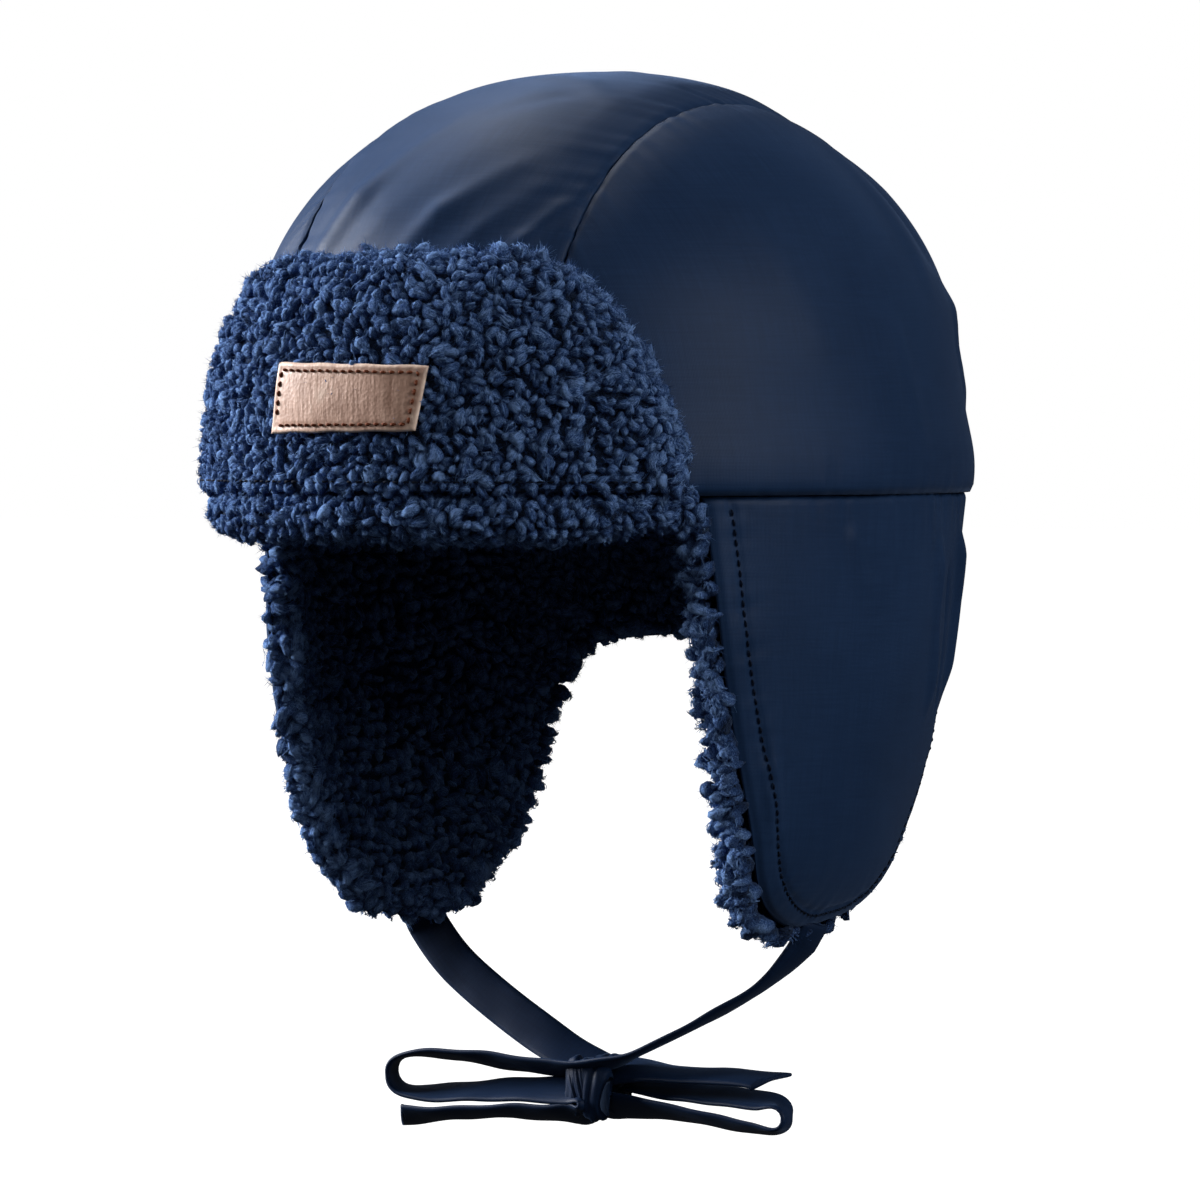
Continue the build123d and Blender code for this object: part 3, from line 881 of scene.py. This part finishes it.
def scatter(grid, normals, spacing, gen, jitter=0.42):
    """Spots spread over a grid of points about a spacing apart, row by row."""
    spots, ups = [], []
    run = runs(grid[grid.shape[0] // 2])
    rows = max(int(run[-1] / (spacing * 0.87)), 2)
    for r in range(rows):
        v = np.interp((r + 0.5) / rows * run[-1], run, np.arange(len(run)))
        lo = int(v)
        hi, t = min(lo + 1, len(run) - 1), v - lo
        line = grid[:, lo] * (1 - t) + grid[:, hi] * t
        normal = normals[:, lo] * (1 - t) + normals[:, hi] * t
        length = runs(line)
        count = max(int(length[-1] / spacing), 1)
        step = np.arange(count) + 0.5 + 0.25 * (-1) ** r + gen.uniform(-jitter, jitter, count)
        at = step / count * length[-1]
        up = unit(at_runs(at, length, normal))
        other = unit(np.cross(up, unit(line[-1] - line[0] + 1e-9)))
        spots.append(at_runs(at, length, line) + other * gen.uniform(-jitter, jitter, (count, 1)) * spacing * 0.8)
        ups.append(up)
    return np.vstack(spots), np.vstack(ups)


def curls(name, spots, ups, material, gen, size, strands, wisps, tall=1.0, painted_light_lift=0.0):
    """A mass of small curled locks: a lumpy core, flat strands lying along it and a
    few loose wisps standing off it."""
    n = len(spots)
    flow = np.stack([soft_noise(spots, 0.011, 11 + k) for k in range(3)], -1) + gen.normal(0, 0.75, (n, 3))
    a = unit(np.cross(ups, unit(flow)))
    a = unit(a + ups * gen.normal(0, 0.4, (n, 1)))
    b = unit(np.cross(ups, a))
    c = np.cross(a, b)
    big = gen.lognormal(0, 0.2, n)
    length = size * big * gen.uniform(0.42, 0.68, n)
    width = size * big * gen.uniform(0.30, 0.42, n)
    height = size * gen.uniform(0.42, 0.62, n) * tall
    hook, sway = gen.uniform(-1.1, 1.1, (n, 1)), gen.uniform(-0.9, 0.9, (n, 1))
    sink = size * gen.uniform(-0.2, 0.35, (n, 1)) * tall

    def placed(x, y, z):
        """Points in each lock's own axes, bent like it, and where that is on the hat."""
        each = (slice(None),) + (None,) * (x.ndim - 1)
        y = y + sway[:, 0][each] * x ** 2
        z = z - 0.5 * np.abs(hook[:, 0])[each] * x ** 2
        local = np.stack([x * length[each], y * width[each], z * height[each]], -1)
        world = (spots + ups * sink)[each]
        for k, axis in enumerate((a, b, c)):
            world = world + axis[each] * local[..., k:k + 1]
        return local, world

    # The core.
    lumps = np.zeros((n, len(BALL)))
    for k in range(4):
        way = unit(gen.normal(size=3)) * (2.2 + 1.1 * k)
        lumps += np.sin(BALL @ way + gen.uniform(0, 6.28, (n, 1))) * (0.17 / (1 + 0.4 * k))
    shape = BALL[None] * (1 + lumps)[..., None]
    local, world = placed(*(shape[..., k] for k in range(3)))
    # The last argument of curls lifts every lock's tone: painted light.
    own = gen.normal(0, 0.08, (n, 1)) + painted_light_lift
    # Each lock's tone: its own random shift, darker towards its root and lighter towards its crest as painted
    # shade and painted highlight.
    tone = 0.34 + own + 0.42 * shape[..., 2] + 0.05 * np.sin(shape[..., 0] * 5 + hook * 9)
    offset = gen.uniform(-50, 50, (n, 1, 3))
    verts, tones, piles = [world.reshape(-1, 3)], [tone.ravel()], [(local / MM + offset).reshape(-1, 3)]
    faces = (BALL_FACES[None] + (np.arange(n) * len(BALL))[:, None, None]).reshape(-1, 3).tolist()
    count = len(BALL) * n
    # Strands lying along it.
    if strands:
        one = (n, strands, 1)
        t = np.linspace(0, 1, STRAND_STEPS)[None, None]
        x = gen.uniform(-1.0, -0.1, one) + t * gen.uniform(0.8, 1.5, one)
        phi = gen.uniform(-1.5, 1.5, one) + t * gen.uniform(-0.9, 0.9, one)
        off = 1.04 + 0.22 * t ** 2 + gen.uniform(-0.04, 0.14, one)
        girth = (np.sqrt(np.maximum(1 - (x / 1.25) ** 2, 0.05)) * off)[..., None]
        half = 0.12 * (1 - 0.85 * t ** 2)
        pair = np.stack([phi - half, phi + half], -1)
        local, world = placed(np.repeat(x[..., None], 2, -1), np.sin(pair) * girth, np.cos(pair) * girth)
        first = count + (np.arange(n * strands) * STRAND_STEPS * 2)[:, None, None]
        faces += (STRAND_QUADS[None] + first).reshape(-1, 4).tolist()
        verts.append(world.reshape(-1, 3))
        # Strands lighter on their side away from the hat: painted highlight, with a random shift per strand.
        tones.append((0.40 + own[:, :, None, None] + 0.36 * np.cos(pair)
                      + gen.normal(0, 0.07, (n, strands, 1, 1)) + 0.05 * t[..., None]).ravel())
        piles.append((local / MM + offset[:, :, None, None]).reshape(-1, 3))
        count += n * strands * STRAND_STEPS * 2
    # Wisps standing off it.
    if wisps:
        way = unit(gen.normal(size=(n, wisps, 3)) * (1, 1, 0.6) + (0, 0, 0.7))
        root = way * 0.85
        _, world = placed(root[..., 0], root[..., 1], root[..., 2])
        away = unit(a[:, None] * way[..., :1] + b[:, None] * way[..., 1:2] + c[:, None] * way[..., 2:]
                    + gen.normal(0, 0.25, (n, wisps, 3)))
        reach = size * gen.uniform(0.3, 0.8, (n, wisps, 1)) ** 1.3
        across = unit(np.cross(away, gen.normal(size=away.shape))) * WISP_HALF
        verts.append(np.stack([world - across, world + across, world + away * reach], axis=2).reshape(-1, 3))
        # Wisps lighter at their tips: painted highlight.
        tones.append((0.45 + own[:, :, None] + np.array((0.0, 0.0, 0.2))
                      + gen.normal(0, 0.05, (n, wisps, 1))).ravel())
        piles.append(np.repeat((root * 2 + offset).reshape(-1, 3), 3, axis=0))
        faces += (count + np.arange(n * wisps * 3).reshape(-1, 3)).tolist()
    obj = mesh_object(name, np.vstack(verts), faces, material)
    set_points(obj, "tone", np.clip(np.concatenate(tones), 0, 1))
    set_points(obj, "pile", np.vstack(piles), vector=True)
    return obj


def pile_backing(name, grid, material):
    """The knitted ground under the curls, painted dark as the shade between them."""
    obj = mesh_object(name, grid.reshape(-1, 3), grid_faces(*grid.shape[:2]), material)
    set_points(obj, "tone", np.full(grid.shape[:2], PAINTED_GAP_SHADE))
    set_points(obj, "pile", grid / MM, vector=True)
    return obj


def pad(name, grid, normals, material, gen, spacing, size, strands, wisps):
    """Knitted ground and the curls on it, in one mesh."""
    ground = pile_backing(name, grid, material)
    spots, ups = scatter(grid, normals, spacing, gen)
    return merge(ground, curls(name + "_curls", spots, ups, material, gen, size, strands, wisps))


FRONT = np.array((0, -1, 0.0))
BRIM_OUT, BRIM_BULGE, BRIM_ROUND = 6.4 * MM, 1.0 * MM, 6.0 * MM
BRIM_BACK, BRIM_SHRINK, BRIM_FOOT = 1.2 * MM, 1.5 * MM, 0.6 * MM
# The brim's half width at heights above the waist seam, in millimetres.
BRIM_SIDE = [(63, 0), (61.5, 10), (58.5, 20), (55, 29), (50, 37), (43, 45.5), (31, 52)]


def brim_grid(across, up, near, far, shrink=BRIM_SHRINK, bulge=BRIM_BULGE):
    """A layer of the brim, near the crown at its edges and far from it past them."""
    b = np.linspace(0, 1, up)
    z = BRIM_FOOT + b * (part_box("brim_facing")[1].z - BRIM_FOOT - shrink)
    widths, heights = np.array(BRIM_SIDE).T * MM
    reach = np.interp(z, heights, widths) - shrink
    x = np.linspace(-1, 1, across)[:, None] * reach[None]
    share = (1 - (z / TALL) ** POWER) ** (1 / POWER)
    y = -HALF_Y * np.sqrt(np.maximum(share[None] ** 2 - (x / HALF_X) ** 2, 0.01))
    flat = np.stack([x, y, np.broadcast_to(z[None], x.shape)], -1)
    gap, _ = distance_to(flat, np.vstack([flat[0], flat[:, -1], flat[-1][::-1]])[::3])
    out = near + (far - near) * round_over(gap, BRIM_ROUND)
    out += bulge * (smooth_step((z - 0.010) / 0.022) * 2.2 - 0.8)[None] * smooth_step(gap / 0.02)
    return flat + outward(flat) * out[..., None]


def bend_brim(obj):
    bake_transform(obj)


def make_brim(sherpa, nylon, thread):
    gen = np.random.default_rng(101)
    # Facing: starts tucked in at the backing and rounds over the edges.
    grid = brim_grid(130, 60, BRIM_BACK, BRIM_OUT)
    normals = surface_normals(grid, FRONT)
    facing = pad("brim_sherpa", grid, normals, sherpa, gen, 0.00235, 0.0030, 10, 12)
    bend_brim(facing)
    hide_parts("brim_facing")
    # Longer, fuzzier pile along the turned edge, in two rows.
    edge = resample(np.vstack([grid[0, 8:], grid[:, -1], grid[-1, 8:][::-1]]), 300)
    ups = unit(edge - edge.mean(0) + (0, -0.03, 0.02))
    spots = np.vstack([edge + gen.normal(0, 0.0009, edge.shape), edge[::2] - FRONT * 0.0012])
    # The last argument lifts the brim's edge curls in tone: painted light.
    fringe = curls("brim_edge_curls", spots, np.vstack([ups, ups[::2]]), sherpa, gen, 0.0034, 10, 44, 1.15, 0.06)
    bend_brim(fringe)
    backing = brim_grid(110, 50, 1.3 * MM, 1.3 * MM, 1.0 * MM, 0)
    cloth = cloth_object("brim_lining_cloth", backing, nylon, 0.0006)
    bend_brim(cloth)
    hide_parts("brim_backing")
    foot = brim_grid(220, 24, BRIM_BACK, BRIM_OUT + 1.2 * MM)
    row, normals = foot[8:-8, 1], surface_normals(foot, FRONT)[8:-8, 1]
    seam = stitches("brim_foot_stitch", row, normals, thread, lift=0.0004)
    bend_brim(seam)
    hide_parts("brim_foot_stitching")


def make_roll(sherpa):
    """The rolled sherpa edge under the brim, closed all round its section."""
    low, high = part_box("front_roll")
    reach = math.acos(0.064 / HALF_Y) + 0.02
    theta = np.linspace(-reach, reach, 150)[:, None]
    phi = np.linspace(0, 2 * math.pi, 34)[None]
    centre = skirt_point(theta, np.full_like(theta, (low.z + high.z) / 2 + 0.0004))
    level = unit(outward(centre) * (1, 1, 0))
    tail = smooth_step((reach - np.abs(theta)) / 0.35)   # thinner towards its ends
    out = -0.0003 + 0.0068 * np.cos(phi) * (0.5 + 0.5 * tail)
    grid = centre + level * out[..., None]
    grid[..., 2] += 0.0009 + 0.0016 * (1 - tail) + 0.0044 * np.sin(phi) * (0.6 + 0.4 * tail)
    away = np.cos(phi)[..., None] * level + np.sin(phi)[..., None] * (0, 0, 1.0)
    gen = np.random.default_rng(77)
    roll = pad("front_roll_sherpa", grid, surface_normals(grid, away), sherpa, gen, 0.0024, 0.0030, 10, 12)
    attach(roll, "crown")
    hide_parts("front_roll")


LINING_GROW = 0.0026                  # sherpa beyond the shell's edge
# Rows of tufts along a flap's free edge: depth inside the shell, push past the edge,
# and the first of the edge's points used; every RIM_STEPth point has a tuft.
RIM_ROWS = ((0.0016, -0.0010, 1), (0.0042, 0.0004, 2), (0.0066, 0.0002, 1))
RIM_STEP = 5


def settled(p):
    """The pile stops at the nape's hem and stands out further in front of the flaps' tips."""
    y, z = p[..., 1], p[..., 2]
    nape = smooth_step((y - 0.045) / 0.025) * smooth_step((-z - 0.012) / 0.02)
    tip = smooth_step((-z - 0.055) / 0.035) * smooth_step((0.012 - y) / 0.03)
    rear = smooth_step((-z - 0.045) / 0.03) * smooth_step((y - 0.010) / 0.02)
    forward = -0.0024 * tip - 0.0020 * rear
    return p + np.stack([0 * z, forward, 0.0052 * nape - 0.0014 * tip + 0.0012 * rear], -1)


def make_linings(sherpa):
    """Sherpa inside each half of the skirt, rounding out past the shell's edge, and
    tufts that show past the shell along the free edge."""
    base = skirt_grid(150, 84, grow=LINING_GROW, top=-0.0005)
    edge = skirt_point(*skirt_edge(LINING_GROW).T)
    gap, _ = distance_to(base, edge[::2])
    deep = 0.0012 + 0.0058 * round_over(gap, 0.0055)
    inner = settled(base - outward(base) * deep[..., None])
    rim = resample(edge, 620)
    rim = rim[rim[:, 2] < -0.004]
    normals = outward(rim)
    out = np.cross(unit(np.gradient(rim, axis=0)), normals)
    out *= np.sign(-out[300, 2])
    for side, seed, flip in (("left", 201, 1), ("right", 202, MIRROR)):
        gen = np.random.default_rng(seed)
        grid = mirrored(inner, side)
        up = surface_normals(grid, -outward(grid))
        lining = pad("flap_sherpa_" + side, grid, up, sherpa, gen, 0.0027, 0.0033, 6, 6)
        bend_with_flap(lining)
        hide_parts("ear_flap_lining_" + side, "nape_lining", "nape_elastic")
        spots, ups = [], []
        for depth, push, first in RIM_ROWS:
            at, normal, past = (values[first::RIM_STEP] for values in (rim, normals, out))
            spots.append(settled(at - normal * depth + past * push + gen.normal(0, 0.0006, at.shape)))
            ups.append(unit(past + normal * (0.15 - depth * 60)))
        # The last argument lifts the flap's edge tufts in tone: painted light.
        tufts = curls("flap_edge_curls_" + side, on_side(np.vstack(spots), side), np.vstack(ups) * flip,
                      sherpa, gen, 0.0034, 9, 24, 1.3, 0.12)
        bend_with_flap(tufts)


def make_crown_lining(sherpa):
    theta = np.linspace(0, 2 * math.pi, 150)[:, None]
    turn = np.linspace(0, math.pi / 2 - 0.02, 56)[None]
    grid = crown_point(theta + 0 * turn, turn + 0 * theta)
    grid = grid - outward(grid) * 0.0066
    gen = np.random.default_rng(301)
    lining = pad("crown_sherpa", grid, -outward(grid), sherpa, gen, 0.0040, 0.0050, 3, 0)
    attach(lining, "crown")
    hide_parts("crown_lining_centre", "crown_lining_left", "crown_lining_right")


# ---- leather patch --------------------------------------------------------------------
PATCH_LEFT, PATCH_DOWN = 4.3 * MM, 2.3 * MM      # from the CAD patch's corner
PATCH_WIDER, PATCH_TALLER = -0.2 * MM, 0.8 * MM
PATCH_SKEW, PATCH_NARROWING = 2.8 * MM, 0.09
PATCH_T, PATCH_PROUD = 1.3 * MM, 2.6 * MM
PATCH_SEAM = 1.7 * MM                 # the stitches' distance in from the edge


def border(grid, i, j):
    """Points of a grid on the rectangle i rows and j columns in from its edges."""
    return np.vstack([grid[i:-i, j], grid[-i - 1, j:-j], grid[i:-i, -j - 1][::-1], grid[i, j:-j][::-1]])


def make_patch(leather, thread):
    low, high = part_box("label_patch")
    wide, tall = high.x - low.x + PATCH_WIDER, high.z - low.z + PATCH_TALLER
    cols, rows = 90, 36
    u, v = np.linspace(0, 1, cols)[:, None], np.linspace(0, 1, rows)[None]
    x = low.x - PATCH_LEFT + wide * u + PATCH_SKEW * (v - 0.5)
    z = (low.z - PATCH_DOWN + tall * v * (1 - PATCH_NARROWING * u) + 0.0004 * (u - 0.5)
         + 0.0001 * np.sin(u * 23) * (2 * v - 1) ** 3)
    brim = brim_grid(260, 110, BRIM_BACK, BRIM_OUT).reshape(-1, 3)
    under = nearest(np.stack([x, z], -1).reshape(-1, 2), brim[:, [0, 2]])
    y = smoothed(smoothed(brim[under, 1].reshape(x.shape), 40).T, 40).T
    edge = np.minimum(np.minimum(u, 1 - u) * wide, np.minimum(v, 1 - v) * tall)
    proud = PATCH_PROUD + 0.0005 * round_over(edge, 0.0009) - 0.0002 * bell(edge - 0.0016, 0.0006)
    proud = proud + 0.0003 * soft_noise(np.stack([x, 0 * x, z], -1), 0.02, 4)
    points = np.stack([x, y - proud, z], -1)
    patch = mesh_object("leather_patch", points.reshape(-1, 3), grid_faces(cols, rows), leather)
    set_points(patch, "wear", 0.42 * np.exp(-edge / 0.0006))
    thicken(patch, PATCH_T, 1)
    inset = round(PATCH_SEAM / wide * (cols - 1)), round(PATCH_SEAM / tall * (rows - 1))
    loop, normals = border(points, *inset), border(surface_normals(points, FRONT), *inset)
    seam = stitches("patch_stitch", loop, normals, thread, pitch=0.0021, share=0.62, radius=0.00036, lift=0.00004)
    for obj, node, finish in ((patch, "label_patch", "leather_patch"), (seam, "label_stitching", "patch_thread")):
        bend_brim(obj)
        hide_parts(node)


def make_tabs(material):
    for side in ("left", "right"):
        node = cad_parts["tie_tab_" + side]
        node.data.materials.clear()
        node.data.materials.append(material)


# ---- build ------------------------------------------------------------------------------
make_camera()
# The shell's nylon made darker: painted shade for the ties, which hang in shadow under the hat; the tie tabs share
# it.
shaded_tie_cloth = nylon_material("shaded_tie_cloth", (0.0030, 0.0095, 0.029), (0.0055, 0.017, 0.050), 0.48, 0.08)
make_ties(shaded_tie_cloth)
make_studio()
shell_cloth = nylon_material("shell_cloth", (0.0072, 0.0210, 0.058), (0.0115, 0.031, 0.082), 0.44, 0.15)
# The ramp runs from near-black painted shade at the curls' roots to light-blue painted highlight on their crests.
pile_blue = sherpa_material("sherpa_pile", [(0.0, (0.001, 0.0025, 0.008)), (0.3, (0.009, 0.025, 0.083)),
                                            (0.6, (0.043, 0.100, 0.28)), (0.95, (0.20, 0.35, 0.68))])
navy_thread = thread_material("navy_sewing_thread", (0.0015, 0.0035, 0.010), (0.006, 0.014, 0.036))
brown_thread = thread_material("brown_sewing_thread", (0.085, 0.022, 0.010), (0.20, 0.06, 0.028))
make_crown(shell_cloth)
make_topstitch(*make_skirt(shell_cloth), navy_thread)
make_brim(pile_blue, shell_cloth, navy_thread)
make_roll(pile_blue)
make_linings(pile_blue)
make_crown_lining(pile_blue)
make_patch(leather_material(), brown_thread)
make_tabs(shaded_tie_cloth)
